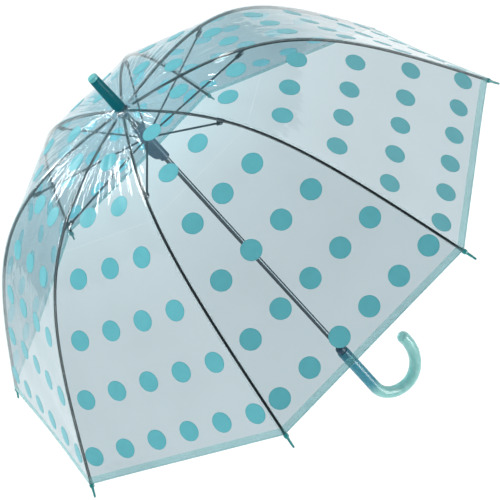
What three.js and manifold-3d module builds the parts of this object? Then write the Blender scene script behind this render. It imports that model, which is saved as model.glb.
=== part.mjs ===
// Clear bubble umbrella with a deep eight-panel dome, standing open and upright.
// Millimetres, +Z up. The origin is on the shaft axis at the middle of the hand grip; the crook opens towards +X.

import * as THREE from "three";
import { mergeVertices } from "three/addons/utils/BufferGeometryUtils.js";
import Module from "manifold-3d";

const wasm = await Module();
wasm.setup();

// ---------------------------------------------------------------- driving dimensions
const PANELS = 8;
const PANEL_ANGLE = (2 * Math.PI) / PANELS;
const HALF_PANEL = PANEL_ANGLE / 2;
const HUB_HEIGHT = 605; // rib pivots above the grip
const GAP = 0.3; // clearance between pieces that meet

// Rib centreline in its own upright plane, as (radius, height above the rib pivot).
const RIB_START = [8, 0];
const RIB_CROWN_PULL = [237, -8];
const RIB_SKIRT_PULL = [284, -66];
const RIB_END = [420, -283];
const RIB_BEND_AT = 0.41; // share of the curve where the inner half ends and the outer half begins
const RIB_RADIUS = 1.6;
const RIB_BEND_GAP = 0.6;
const RIB_EYE_RADIUS = 2.2;
const RIB_EYE_HOLE = 1.0;

const CLIP_AT = 0.3175; // share of the curve where the stretcher joins the rib
const CLIP_SIZE = [10, 4.2, 4.2];
const LUG_DROP = 4.6; // stretcher pivot below the rib centreline
const LUG_WIDTH = 2.0;
const LUG_RADIUS = 1.8;
const RIVET_RADIUS = 0.78;
const RIVET_LENGTH = 4.8;

const STRETCHER_PIVOT = [12, -54]; // inner end beside the runner, (radius, height above the rib pivot)
const STRETCHER_WIDTH = 2.6;
const STRETCHER_DEPTH = 2.4;
const FORK_WIDTH = 4.2;
const FORK_GAP = 2.6;
const FORK_RADIUS = 2.0;
const FORK_LENGTH = 9;
const FORK_BLOCK = 5;
const FORK_HOLE = 0.9;

const FILM_OFFSET = 2.9; // inside of the film above the rib centreline
const FILM_THICKNESS = 0.6;
const FILM_INNER_RADIUS = 12.5;
const FILM_SEAM_GAP = 0.2; // each panel stays this far from the rib plane

const SHAFT_RADIUS = 4;
const SHAFT_BORE = 3.4;
const SHAFT_BOTTOM = -40;
const SHAFT_TOP = HUB_HEIGHT + 36;
const BORE_RADIUS = SHAFT_RADIUS + GAP; // of every piece that sits round the shaft

const FERRULE_BASE = 5.3; // heights above the rib pivot
const FERRULE_TOP = 62;
const FERRULE_TIP = 68;
const FERRULE_BASE_RADIUS = 8.4;
const FERRULE_TOP_RADIUS = 7.3;
const WASHER_BOTTOM = 3.8;
const WASHER_THICKNESS = 1.2;
const WASHER_RADIUS = 15;

const CROWN_RADIUS = 10.5;
const CROWN_BOTTOM = -5;
const CROWN_TOP = 2;
const CROWN_CORE = 5.5;
const CROWN_SLOT_WIDTH = 4;
const WIRE_RADIUS = 0.6;
const WIRE_GROOVE = 7.1;

const STOP_TOP = -27;
const STOP_BOTTOM = -32;
const STOP_RADIUS = 5.8;

const RUNNER_TOP = -33;
const RUNNER_BOTTOM = -97;
const RUNNER_SLEEVE = 7.4;
const RUNNER_FLANGE = 8.4;
const RUNNER_RING = 10;
const RING_TOP = -49;
const RING_BOTTOM = -59;
const RUNNER_TRAVEL = 284.4;
const KEYWAY_RADIUS = 6.8;
const KEYWAY_WIDTH = 2.6;
const THUMB_CENTRE = [-6, -76];
const THUMB_SIZE = [8, 2.2, 17]; // half lengths

const LATCH_WIDTH = 1.6;
const LATCH_TIP = 6.3; // how far a spring catch stands out from the shaft axis
const LATCH_LENGTH = 22;
const LATCH_SLOT_WIDTH = 2.4;

const GRIP_RADIUS = 9.6;
const GRIP_TOP = 50.5;
const CROOK_START = -45;
const CROOK_NEAR_RADIUS = 42; // round bend on the shaft's side
const CROOK_FAR_WIDTH = 44; // wider, taller bend on the far side
const CROOK_FAR_HEIGHT = 60;
const CROOK_PAST_SIDE = THREE.MathUtils.degToRad(10);
const COLLAR_TOP = 60;
const COLLAR_RADIUS = 8.1;

const TIP_BEAD_RADIUS = 3.2;
const TIP_BEAD_LENGTH = 5;
const TIP_PIN_RADIUS = 1.3;
const TIP_LENGTH = 20;

// ---------------------------------------------------------------- materials
const finish = (color, roughness, metalness = 0) =>
  new THREE.MeshStandardMaterial({ color, roughness, metalness });
const FILM = new THREE.MeshStandardMaterial({
  color: 0xc8dde2,
  roughness: 0.08,
  metalness: 0,
  transparent: true,
  opacity: 0.3,
});
const RIB_STEEL = finish(0x122024, 0.35, 0.6);
const STRETCHER_STEEL = finish(0x3a4a58, 0.35, 0.7);
const SHAFT_STEEL = finish(0x2e3d4a, 0.2, 0.9);
const SLATE_PLASTIC = finish(0x3f5d74, 0.4);
const DARK_TEAL = finish(0x1c6068, 0.35);
const PALE_TEAL = finish(0x8fdde2, 0.35);
const TIP_TEAL = finish(0x2f9aa0, 0.35);
const HANDLE_MINT = finish(0x8ccfc6, 0.25);
const SPRING_STEEL = finish(0xb8bcc0, 0.3, 1);

// ---------------------------------------------------------------- solid helpers
// A manifold solid from a closed geometry, with its faces turned outwards whichever way its outline ran.
function toSolid(geometry) {
  const bare = geometry.index ? geometry.toNonIndexed() : geometry.clone();
  bare.deleteAttribute("normal");
  bare.deleteAttribute("uv");
  const merged = mergeVertices(bare, 1e-4);
  const build = (triVerts) =>
    new wasm.Manifold(
      new wasm.Mesh({ numProp: 3, vertProperties: merged.attributes.position.array, triVerts }),
    );
  const corners = new Uint32Array(merged.index.array);
  const solid = build(corners);
  return solid.volume() > 0 ? solid : build(corners.reverse());
}

function toGeometry(solid) {
  const mesh = solid.getMesh();
  const geometry = new THREE.BufferGeometry();
  geometry.setAttribute("position", new THREE.BufferAttribute(mesh.vertProperties, 3));
  geometry.setIndex(new THREE.BufferAttribute(mesh.triVerts, 1));
  geometry.computeVertexNormals();
  return geometry;
}

// A block by its lowest and highest corners.
function block([x0, y0, z0], [x1, y1, z1]) {
  const box = new THREE.BoxGeometry(x1 - x0, y1 - y0, z1 - z0);
  box.translate((x0 + x1) / 2, (y0 + y1) / 2, (z0 + z1) / 2);
  return box;
}

// A round bar lying along Y, centred on (x, 0, z).
function crossPin(radius, length, x, z, sides = 12) {
  const pin = new THREE.CylinderGeometry(radius, radius, length, sides);
  pin.translate(x, 0, z);
  return pin;
}

// A turned piece about Z. The profile is a closed loop of (radius, height) that stays off the axis.
function turned(profile, segments = 32) {
  const loop = [...profile, profile[0]].map(([r, z]) => new THREE.Vector2(r, z));
  const lathe = new THREE.LatheGeometry(loop, segments);
  lathe.rotateX(Math.PI / 2);
  return lathe;
}

// A turned piece about Z whose profile starts and ends on the axis.
function turnedSolid(profile, segments = 24) {
  const lathe = new THREE.LatheGeometry(
    profile.map(([r, z]) => new THREE.Vector2(r, z)),
    segments,
  );
  lathe.rotateX(Math.PI / 2);
  return lathe;
}

// An outline of (x, z) points given thickness along Y, centred on the XZ plane.
function slab(outline, thickness) {
  const shape = new THREE.Shape(outline.map(([x, z]) => new THREE.Vector2(x, z)));
  const extruded = new THREE.ExtrudeGeometry(shape, { depth: thickness, bevelEnabled: false });
  extruded.translate(0, 0, -thickness / 2);
  extruded.rotateX(Math.PI / 2);
  return extruded;
}

function roundSection(radius, sides) {
  const corners = Array.from({ length: sides }, (_, i) => {
    const a = ((i + 0.5) / sides) * 2 * Math.PI;
    return new THREE.Vector2(radius * Math.cos(a), radius * Math.sin(a));
  });
  return new THREE.Shape(corners);
}

function sweep(section, path, steps) {
  return new THREE.ExtrudeGeometry(section, { steps, extrudePath: path, bevelEnabled: false });
}

// ---------------------------------------------------------------- the umbrella as a scene graph
const umbrella = new THREE.Group();
const dome = new THREE.Group();
dome.position.z = HUB_HEIGHT;
umbrella.add(dome);

function add(parent, name, solid, material, azimuth = 0) {
  const mesh = new THREE.Mesh(toGeometry(solid), material);
  mesh.name = name;
  mesh.rotation.z = azimuth;
  parent.add(mesh);
}

// ---------------------------------------------------------------- rib curve
const planePoint = ([r, z]) => new THREE.Vector3(r, 0, z);
const ribCurve = new THREE.CubicBezierCurve3(
  ...[RIB_START, RIB_CROWN_PULL, RIB_SKIRT_PULL, RIB_END].map(planePoint),
);

// The stretch of the rib curve from share a to share b, as a curve of its own.
class RibStretch extends THREE.Curve {
  constructor(a, b) {
    super();
    this.a = a;
    this.b = b;
  }
  getPoint(t, target = new THREE.Vector3()) {
    return ribCurve.getPoint(this.a + (this.b - this.a) * t, target);
  }
}

// Unit vector out of the dome, square to the rib.
function ribNormal(t) {
  const along = ribCurve.getTangent(t);
  return new THREE.Vector3(-along.z, 0, along.x);
}

function offRib(t, distance) {
  return ribCurve.getPoint(t).addScaledVector(ribNormal(t), distance);
}

// Share of the curve that a length in mm takes up near share t.
function shareOf(length, t) {
  const step = 1e-3;
  const at = Math.max(t, step);
  const a = ribCurve.getPoint(at - step);
  const b = ribCurve.getPoint(at);
  return (length * step) / a.distanceTo(b);
}

// ---------------------------------------------------------------- ribs, tips and stretchers
function innerRib() {
  const start = shareOf((RIB_EYE_HOLE + RIB_EYE_RADIUS) / 2, 0);
  const end = RIB_BEND_AT - shareOf(RIB_BEND_GAP, RIB_BEND_AT);
  const rod = toSolid(sweep(roundSection(RIB_RADIUS, 6), new RibStretch(start, end), 8));
  const eye = toSolid(crossPin(RIB_EYE_RADIUS, 2 * RIB_RADIUS, ...RIB_START));
  const hole = toSolid(crossPin(RIB_EYE_HOLE, 4 * RIB_RADIUS, ...RIB_START));
  return rod.add(eye).subtract(hole).add(stretcherClip());
}

// The clip round the rib, with the lug and rivet that carry the stretcher's fork.
function stretcherClip() {
  const along = ribCurve.getTangent(CLIP_AT);
  const at = ribCurve.getPoint(CLIP_AT);
  const body = new THREE.BoxGeometry(...CLIP_SIZE);
  const lug = block([-LUG_RADIUS, -LUG_WIDTH / 2, -LUG_DROP], [LUG_RADIUS, LUG_WIDTH / 2, 0]);
  const round = crossPin(LUG_RADIUS, LUG_WIDTH, 0, -LUG_DROP, 10);
  const rivet = crossPin(RIVET_RADIUS, RIVET_LENGTH, 0, -LUG_DROP, 8);
  const solids = [body, lug, round, rivet].map((geometry) => {
    geometry.rotateY(Math.atan2(-along.z, along.x));
    geometry.translate(at.x, at.y, at.z);
    return toSolid(geometry);
  });
  return solids.reduce((whole, piece) => whole.add(piece));
}

function outerRib() {
  const start = RIB_BEND_AT + shareOf(RIB_BEND_GAP, RIB_BEND_AT);
  const end = 1 - shareOf(GAP, 1);
  return toSolid(sweep(roundSection(RIB_RADIUS, 6), new RibStretch(start, end), 9));
}

function ribTip() {
  const pin = turnedSolid(
    [
      [0, 0],
      [RIB_RADIUS, 0],
      [TIP_BEAD_RADIUS, 1.2],
      [TIP_BEAD_RADIUS, TIP_BEAD_LENGTH - 1.5],
      [TIP_PIN_RADIUS, TIP_BEAD_LENGTH],
      [TIP_PIN_RADIUS, TIP_LENGTH - 1],
      [TIP_PIN_RADIUS / 2, TIP_LENGTH],
      [0, TIP_LENGTH],
    ],
    10,
  );
  const along = ribCurve.getTangent(1);
  pin.rotateY(Math.atan2(along.x, along.z));
  pin.translate(...ribCurve.getPoint(1).toArray());
  return toSolid(pin);
}

function stretcher() {
  const outer = offRib(CLIP_AT, -LUG_DROP);
  const inner = planePoint(STRETCHER_PIVOT);
  const length = inner.distanceTo(outer);
  const half = STRETCHER_DEPTH / 2;
  const bar = block(
    [0, -STRETCHER_WIDTH / 2, -half],
    [length - FORK_LENGTH + 1, STRETCHER_WIDTH / 2, half],
  );
  const innerEye = crossPin(half, STRETCHER_WIDTH, 0, 0);
  const fork = block(
    [length - FORK_LENGTH, -FORK_WIDTH / 2, -FORK_RADIUS],
    [length, FORK_WIDTH / 2, FORK_RADIUS],
  );
  const outerEye = crossPin(FORK_RADIUS, FORK_WIDTH, length, 0, 10);
  const mouth = block(
    [length - FORK_LENGTH + FORK_BLOCK - 1, -FORK_GAP / 2, -2 * FORK_RADIUS],
    [length + 2 * FORK_RADIUS, FORK_GAP / 2, 2 * FORK_RADIUS],
  );
  const hole = crossPin(FORK_HOLE, 2 * FORK_WIDTH, length, 0);
  const pieces = [bar, innerEye, fork, outerEye, mouth, hole].map((geometry) => {
    geometry.rotateY(-Math.atan2(outer.z - inner.z, outer.x - inner.x));
    geometry.translate(inner.x, 0, inner.z);
    return toSolid(geometry);
  });
  const [barSolid, ...rest] = pieces;
  const cuts = rest.splice(-2);
  return cuts.reduce(
    (whole, cut) => whole.subtract(cut),
    rest.reduce((whole, piece) => whole.add(piece), barSolid),
  );
}

// ---------------------------------------------------------------- film panels
// A panel is straight from rib to rib, so in its own middle plane the film follows the rib curve drawn in
// by the cosine of half a panel. The strip is cut to the wedge between its two rib planes.
function filmPanel(shares, startAtShaft) {
  const inPlane = (t, distance) => {
    const p = offRib(t, distance);
    return [p.x * Math.cos(HALF_PANEL), p.z];
  };
  const under = shares.map((t) => inPlane(t, FILM_OFFSET));
  const over = shares.map((t) => inPlane(t, FILM_OFFSET + FILM_THICKNESS));
  if (startAtShaft) {
    const reach = FILM_INNER_RADIUS * Math.cos(HALF_PANEL);
    under.unshift([reach, FILM_OFFSET]);
    over.unshift([reach, FILM_OFFSET + FILM_THICKNESS]);
  }
  const width = 2 * RIB_END[0] * Math.tan(HALF_PANEL);
  const strip = toSolid(slab([...under, ...over.reverse()], width));
  return strip.intersect(panelWedge());
}

function panelWedge() {
  const far = 2 * RIB_END[0];
  const start = FILM_SEAM_GAP / Math.sin(HALF_PANEL);
  const side = (far - start) * Math.tan(HALF_PANEL);
  const shape = new THREE.Shape([
    new THREE.Vector2(start, 0),
    new THREE.Vector2(far, -side),
    new THREE.Vector2(far, side),
  ]);
  const wedge = new THREE.ExtrudeGeometry(shape, { depth: 2 * far, bevelEnabled: false });
  wedge.translate(0, 0, -far);
  return toSolid(wedge);
}

function sharesBetween(a, b, steps) {
  return Array.from({ length: steps + 1 }, (_, i) => a + ((b - a) * i) / steps);
}

const innerShares = sharesBetween(0.02, RIB_BEND_AT - shareOf(FILM_SEAM_GAP, RIB_BEND_AT), 7);
const outerShares = sharesBetween(
  RIB_BEND_AT + shareOf(FILM_SEAM_GAP, RIB_BEND_AT),
  1 - shareOf(2 * GAP, 1),
  9,
);

for (let k = 1; k <= PANELS; k++) {
  const middle = (k - 1) * PANEL_ANGLE; // panel 1 faces the crook's opening
  const rib = middle + HALF_PANEL;
  add(dome, `rib_inner_${k}`, innerRib(), RIB_STEEL, rib);
  add(dome, `rib_outer_${k}`, outerRib(), RIB_STEEL, rib);
  add(dome, `rib_tip_${k}`, ribTip(), TIP_TEAL, rib);
  add(dome, `stretcher_${k}`, stretcher(), STRETCHER_STEEL, rib);
  add(dome, `gore_inner_${k}`, filmPanel(innerShares, true), FILM, middle);
  add(dome, `gore_outer_${k}`, filmPanel(outerShares, false), FILM, middle);
}

// ---------------------------------------------------------------- crown, ferrule and shaft
function crown() {
  const body = toSolid(
    turned([
      [BORE_RADIUS, CROWN_BOTTOM],
      [CROWN_RADIUS, CROWN_BOTTOM],
      [CROWN_RADIUS, -WIRE_RADIUS - GAP],
      [WIRE_GROOVE, -WIRE_RADIUS - GAP],
      [WIRE_GROOVE, WIRE_RADIUS + GAP],
      [CROWN_RADIUS, WIRE_RADIUS + GAP],
      [CROWN_RADIUS, CROWN_TOP],
      [BORE_RADIUS, CROWN_TOP],
    ]),
  );
  return cutRound(body, CROWN_CORE, CROWN_SLOT_WIDTH, CROWN_BOTTOM - 1, CROWN_TOP + 1);
}

// Cuts one slot at each rib, from radius `from` outwards.
function cutRound(body, from, width, bottom, top) {
  for (let k = 0; k < PANELS; k++) {
    const slot = block([from, -width / 2, bottom], [3 * CROWN_RADIUS, width / 2, top]);
    slot.rotateZ(HALF_PANEL + k * PANEL_ANGLE);
    body = body.subtract(toSolid(slot));
  }
  return body;
}

function ferrule() {
  const socket = SHAFT_TOP - HUB_HEIGHT + GAP;
  return toSolid(
    turnedSolid(
      [
        [0, socket],
        [BORE_RADIUS, socket],
        [BORE_RADIUS, FERRULE_BASE],
        [FERRULE_BASE_RADIUS, FERRULE_BASE],
        [FERRULE_BASE_RADIUS, FERRULE_BASE + 3],
        [FERRULE_TOP_RADIUS, FERRULE_TOP],
        [0, FERRULE_TOP],
      ],
      32,
    ),
  );
}

function ferruleCap() {
  return toSolid(
    turnedSolid(
      [
        [0, FERRULE_TOP + GAP],
        [FERRULE_TOP_RADIUS, FERRULE_TOP + GAP],
        [FERRULE_TOP_RADIUS, FERRULE_TIP - 2],
        [FERRULE_TOP_RADIUS - 0.7, FERRULE_TIP - 0.6],
        [FERRULE_TOP_RADIUS - 2.2, FERRULE_TIP],
        [0, FERRULE_TIP],
      ],
      32,
    ),
  );
}

function ringRound(inner, outer, bottom, top) {
  return toSolid(
    turned([
      [inner, bottom],
      [outer, bottom],
      [outer, top],
      [inner, top],
    ]),
  );
}

// Heights of the two spring catches' holding edges, above the rib pivot.
const TOP_CATCH = RUNNER_BOTTOM - 0.5;
const BOTTOM_CATCH = RUNNER_TOP - RUNNER_TRAVEL + 0.5;

// Side view of a catch that holds on its upper edge; `up` of -1 turns it over.
function springCatch(edge, up) {
  const outline = [
    [0.6, edge],
    [LATCH_TIP, edge],
    [LATCH_TIP, edge - up * 2],
    [SHAFT_RADIUS - 0.4, edge - up * (LATCH_LENGTH - 2)],
    [2.4, edge - up * LATCH_LENGTH],
    [0.6, edge - up * 5],
  ];
  return toSolid(slab(outline, LATCH_WIDTH));
}

function latchSlot(edge, up) {
  const ends = [edge + up * 1, edge - up * (LATCH_LENGTH + 1)].sort((a, b) => a - b);
  const slot = block([0, -LATCH_SLOT_WIDTH / 2, ends[0]], [2 * SHAFT_RADIUS, LATCH_SLOT_WIDTH / 2, ends[1]]);
  slot.rotateZ(Math.PI / 2);
  return toSolid(slot);
}

function shaftTube() {
  const tube = ringRound(SHAFT_BORE, SHAFT_RADIUS, SHAFT_BOTTOM - HUB_HEIGHT, SHAFT_TOP - HUB_HEIGHT);
  return tube.subtract(latchSlot(TOP_CATCH, 1)).subtract(latchSlot(BOTTOM_CATCH, -1));
}

add(dome, "shaft_tube", shaftTube(), SHAFT_STEEL);
add(dome, "ferrule", ferrule(), DARK_TEAL);
add(dome, "ferrule_cap", ferruleCap(), PALE_TEAL);
add(
  dome,
  "canopy_washer",
  ringRound(BORE_RADIUS, WASHER_RADIUS, WASHER_BOTTOM, WASHER_BOTTOM + WASHER_THICKNESS),
  PALE_TEAL,
);
add(dome, "crown", crown(), SLATE_PLASTIC);
add(dome, "crown_wire", toSolid(new THREE.TorusGeometry(RIB_START[0], WIRE_RADIUS, 6, 32)), SPRING_STEEL);
add(dome, "runner_stop", ringRound(BORE_RADIUS, STOP_RADIUS, STOP_BOTTOM, STOP_TOP), SHAFT_STEEL);
add(dome, "top_spring", springCatch(TOP_CATCH, 1), SPRING_STEEL, Math.PI / 2);
add(dome, "bottom_spring", springCatch(BOTTOM_CATCH, -1), SPRING_STEEL, Math.PI / 2);

// ---------------------------------------------------------------- runner
function runner() {
  const sleeve = toSolid(
    turned([
      [BORE_RADIUS, RUNNER_BOTTOM],
      [RUNNER_SLEEVE, RUNNER_BOTTOM],
      [RUNNER_SLEEVE, RING_BOTTOM],
      [RUNNER_RING, RING_BOTTOM + 1.5],
      [RUNNER_RING, RING_TOP - 1.5],
      [RUNNER_SLEEVE, RING_TOP],
      [RUNNER_SLEEVE, RUNNER_TOP - 6],
      [RUNNER_FLANGE, RUNNER_TOP - 5],
      [RUNNER_FLANGE, RUNNER_TOP],
      [BORE_RADIUS, RUNNER_TOP],
    ]),
  );
  const thumb = new THREE.SphereGeometry(1, 20, 14);
  thumb.scale(...THUMB_SIZE);
  thumb.translate(THUMB_CENTRE[0], 0, THUMB_CENTRE[1]);
  const bore = new THREE.CylinderGeometry(BORE_RADIUS, BORE_RADIUS, 2 * THUMB_SIZE[2] + 20, 32);
  bore.rotateX(Math.PI / 2);
  bore.translate(0, 0, THUMB_CENTRE[1]);
  const keyway = block(
    [-KEYWAY_WIDTH / 2, 0, RUNNER_BOTTOM - 1],
    [KEYWAY_WIDTH / 2, KEYWAY_RADIUS, RUNNER_TOP + 1],
  );
  return sleeve.add(toSolid(thumb)).subtract(toSolid(bore)).subtract(toSolid(keyway));
}

add(dome, "runner", runner(), SLATE_PLASTIC);

// ---------------------------------------------------------------- handle
function handlePath() {
  const points = [new THREE.Vector3(0, 0, GRIP_TOP), new THREE.Vector3(0, 0, 0)];
  const quarter = Math.PI / 2;
  const nearSteps = 9;
  for (let i = 0; i <= nearSteps; i++) {
    const a = (quarter * i) / nearSteps;
    points.push(
      new THREE.Vector3(
        CROOK_NEAR_RADIUS * (1 - Math.cos(a)),
        0,
        CROOK_START - CROOK_NEAR_RADIUS * Math.sin(a),
      ),
    );
  }
  const farCentre = CROOK_START - CROOK_NEAR_RADIUS + CROOK_FAR_HEIGHT;
  const farSteps = 12;
  for (let i = 1; i <= farSteps; i++) {
    const a = ((quarter + CROOK_PAST_SIDE) * i) / farSteps;
    points.push(
      new THREE.Vector3(
        CROOK_NEAR_RADIUS + CROOK_FAR_WIDTH * Math.sin(a),
        0,
        farCentre - CROOK_FAR_HEIGHT * Math.cos(a),
      ),
    );
  }
  return new THREE.CatmullRomCurve3(points);
}

function handle() {
  const path = handlePath();
  const tube = toSolid(sweep(roundSection(GRIP_RADIUS, 18), path, 34));
  const end = new THREE.SphereGeometry(GRIP_RADIUS - 0.05, 18, 10);
  end.translate(...path.getPoint(1).toArray());
  const bore = new THREE.CylinderGeometry(BORE_RADIUS, BORE_RADIUS, GRIP_TOP - SHAFT_BOTTOM + 1 + GAP, 24);
  bore.rotateX(Math.PI / 2);
  bore.translate(0, 0, (GRIP_TOP + 1 + SHAFT_BOTTOM - GAP) / 2);
  return tube.add(toSolid(end)).subtract(toSolid(bore));
}

add(umbrella, "handle", handle(), HANDLE_MINT);
add(
  umbrella,
  "handle_collar",
  ringRound(BORE_RADIUS, COLLAR_RADIUS, GRIP_TOP + GAP, COLLAR_TOP),
  SLATE_PLASTIC,
);

export default umbrella;
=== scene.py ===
"""Looks of the clear bubble umbrella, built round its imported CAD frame. Metres, +Z up.

The canopy is eight gores of clear film. Each gore is two sheets that share a straight edge where the
ribs bend when the umbrella closes. Gore k faces azimuth 45 (k - 1) degrees, and rib k is half a gore
further on.
"""

import math

import bmesh
import bpy
import numpy as np
from mathutils import Matrix, Quaternion, Vector


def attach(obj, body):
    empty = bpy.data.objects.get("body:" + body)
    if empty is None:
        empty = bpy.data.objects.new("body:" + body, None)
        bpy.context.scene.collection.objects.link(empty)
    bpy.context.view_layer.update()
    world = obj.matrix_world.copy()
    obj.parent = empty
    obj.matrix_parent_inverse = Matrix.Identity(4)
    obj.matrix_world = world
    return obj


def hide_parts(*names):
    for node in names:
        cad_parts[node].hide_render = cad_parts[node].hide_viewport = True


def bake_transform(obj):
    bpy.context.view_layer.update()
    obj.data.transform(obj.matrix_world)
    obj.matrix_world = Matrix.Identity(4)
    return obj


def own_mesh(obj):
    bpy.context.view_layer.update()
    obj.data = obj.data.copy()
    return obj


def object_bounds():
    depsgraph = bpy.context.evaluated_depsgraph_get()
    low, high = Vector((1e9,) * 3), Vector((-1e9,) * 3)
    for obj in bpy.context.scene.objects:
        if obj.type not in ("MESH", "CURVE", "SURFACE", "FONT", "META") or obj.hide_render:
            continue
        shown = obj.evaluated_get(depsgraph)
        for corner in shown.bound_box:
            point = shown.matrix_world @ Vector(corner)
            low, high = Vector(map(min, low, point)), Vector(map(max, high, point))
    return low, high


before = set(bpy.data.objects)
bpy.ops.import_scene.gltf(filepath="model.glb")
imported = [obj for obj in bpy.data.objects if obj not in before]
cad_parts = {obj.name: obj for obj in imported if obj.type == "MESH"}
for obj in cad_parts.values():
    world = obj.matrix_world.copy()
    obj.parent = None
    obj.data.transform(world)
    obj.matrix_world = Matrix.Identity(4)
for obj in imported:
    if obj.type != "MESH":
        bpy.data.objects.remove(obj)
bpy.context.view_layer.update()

# ---- driving dimensions
GORES = 8
GORE_ANGLE = 2 * math.pi / GORES
HALF_GORE = GORE_ANGLE / 2
HUB = 0.605  # height of the rib pivots

# Rib centreline in its own upright plane, as (radius, height above the rib pivots).
RIB_CURVE = np.array([(0.008, 0), (0.237, -0.008), (0.284, -0.066), (0.420, -0.283)])
RIB_RADIUS = 0.0019
BEND_AT = 0.41  # share of the curve where the rib bends as the umbrella closes
CLIP_AT = 0.3175  # share of the curve where the stretcher joins
LUG_DROP = 0.0046
STRETCHER_INNER = (0.0095, -0.054)

FILM_OFFSET = 0.0029  # film above the rib centreline
FILM_START = 0.0125  # radius of the hole in the film's middle
BEND_GAP = 0.0001  # keeps a gore's two sheets from cutting each other where they meet
HEM_WIDTH = 0.0095
HEM_LIFT = 0.00045
HEM_EDGE_ROWS = (3, 6)  # strips of the hem's section that make its welded edge
SEAM_HALF_WIDTH = 0.0045
SEAM_LIFT = 0.0005

ROSETTE_RADIUS = 0.026
ROSETTE_HOLE = 0.0080
ROSETTE_HEIGHT = HUB + 0.0090
ROSETTE_DROOP = 0.0028  # how far its edge hangs below its middle
ROSETTE_FOLD = 0.0014
ROSETTE_WAVER = 0.0014  # how far its edge strays from a circle

PLEAT_HEIGHT = 0.0012  # near the crown
PLEAT_SPREAD = 2.2  # what a pleat's waves add up to where they are high
PLEAT_FADE = 0.06  # metres down the film over which the pleats die away
RIPPLE_HEIGHT = 0.00045
SLACK = 0.0016  # how far the film hangs in from the ribs' line at a gore's middle

DOT_RADIUS = 0.0141
DOT_LIFT = 0.0003
DOT_SINK = 0.0001  # how far its inner face stands below the film
DOT_RINGS = 4
DOT_SPOKES = 36
DOT_ROWS = 6  # row n holds n dots
FIRST_ROW = 0.087  # along the film from the rib pivots' radius
ROW_PITCH = 0.0774
DOT_PITCH = 0.0535
INNER_ROWS = 2  # rows that lie above the bend

RUNNER_RADIUS = 0.0074
RUNNER_BORE = 0.0043
RUNNER_TOP = HUB - 0.033
RUNNER_BOTTOM = HUB - 0.097
RING_RADIUS = 0.0100
RING_TOP = HUB - 0.049
RING_BOTTOM = HUB - 0.059
THUMB_CENTRE = (-0.0058, HUB - 0.0755)
THUMB_SIZE = (0.0085, 0.0054, 0.0175)  # half lengths

SHAFT_BOTTOM = -0.040
GRIP_RADIUS = 0.0096
GRIP_TOP = 0.0505
COLLAR_TOP = 0.060
CROOK_START = -0.045
CROOK_NEAR = 0.042
CROOK_FAR = (0.044, 0.060)
CROOK_PAST_SIDE = math.radians(10)

CAMERA_AIM = Vector((-0.012, -0.123, 0.380))
CAMERA_DISTANCE = 2.229
CAMERA_AZIMUTH = math.radians(-5.55)
CAMERA_ELEVATION = math.radians(32.65)
CAMERA_ROLL = math.radians(42.46)
LENS = 117.4  # on a 36 mm sensor

FLOOR_SIZE = 90.0
FLOOR_DROP = 1.1  # the umbrella is held by its grip, this far clear of the floor
FLOOR_GLOW = 0.16

LIGHTS_AIM = (0.0, 0.0, 0.45)
WORLD_DIM = 0.16
WORLD_BRIGHT = 0.60
KEY_FROM = (-0.18, 0.55, 0.82)
KEY_POWER = 2.3
KEY_SPREAD = math.radians(18)

UPRIGHT = (0, 0, 1)

# Strips and cards of light that show only in glossy surfaces, each as its
# name, direction, distance, size, power and the way that its long side runs.
REFLECTED = (
    ("crown_strip", (-0.36, 0.72, 0.66), 3.0, (0.24, 1.4), 46.0, (-0.76, -0.55, 0.21)),
    ("top_strip", (0.38, 0.14, 0.92), 3.0, (0.20, 1.4), 40.0, (0, 1, 0)),
    ("low_card", (0.49, -0.68, -0.45), 1.8, (0.9, 1.5), 56.0, UPRIGHT),
    ("right_card", (0.98, 0.04, 0.20), 3.0, (2.2, 2.2), 26.0, UPRIGHT),
    ("left_card", (-0.92, -0.03, 0.40), 3.0, (2.0, 2.0), 9.0, UPRIGHT),
)


# ---- materials
WHITE = (1.0, 1.0, 1.0, 1.0)
# white of the painted highlights on the film's sharpest creases
CREASE_HIGHLIGHT_WHITE = (0.92, 0.98, 1.0, 1.0)
# milky welding beside the ribs, whitened further as a painted highlight
WELD_AND_HIGHLIGHT_WHITE = (0.86, 0.95, 0.96, 1.0)
# painted shade: the colour of the film's darker patches where it wrinkles
WRINKLE_SHADE = (0.20, 0.25, 0.27, 1.0)

FOLD_REACH = (0.02, 0.21)  # metres from the crown over which the folds fade out
# metres from the crown over which the painted crease highlights fade out
CREASE_HIGHLIGHT_REACH = (0.02, 0.16)
# metres from the crown over which the lighter tint, painted light for the stronger light there, fades out
LIT_CROWN_REACH = (0.05, 0.36)
SOFT_RIPPLE = 0.30  # height of the ripple, as a share of the folds'
CREASE_HIGHLIGHT_HAZE = 5.0  # painted highlight: haze on a sharp crease, as a share of the crown's painted haze
PLAIN_CROWN_LIGHT_HAZE = 0.6  # painted light: haze between the creases near the crown
SHINE_HEAD_ON = 0.04
SHINE_GRAZING = 0.85


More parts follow.
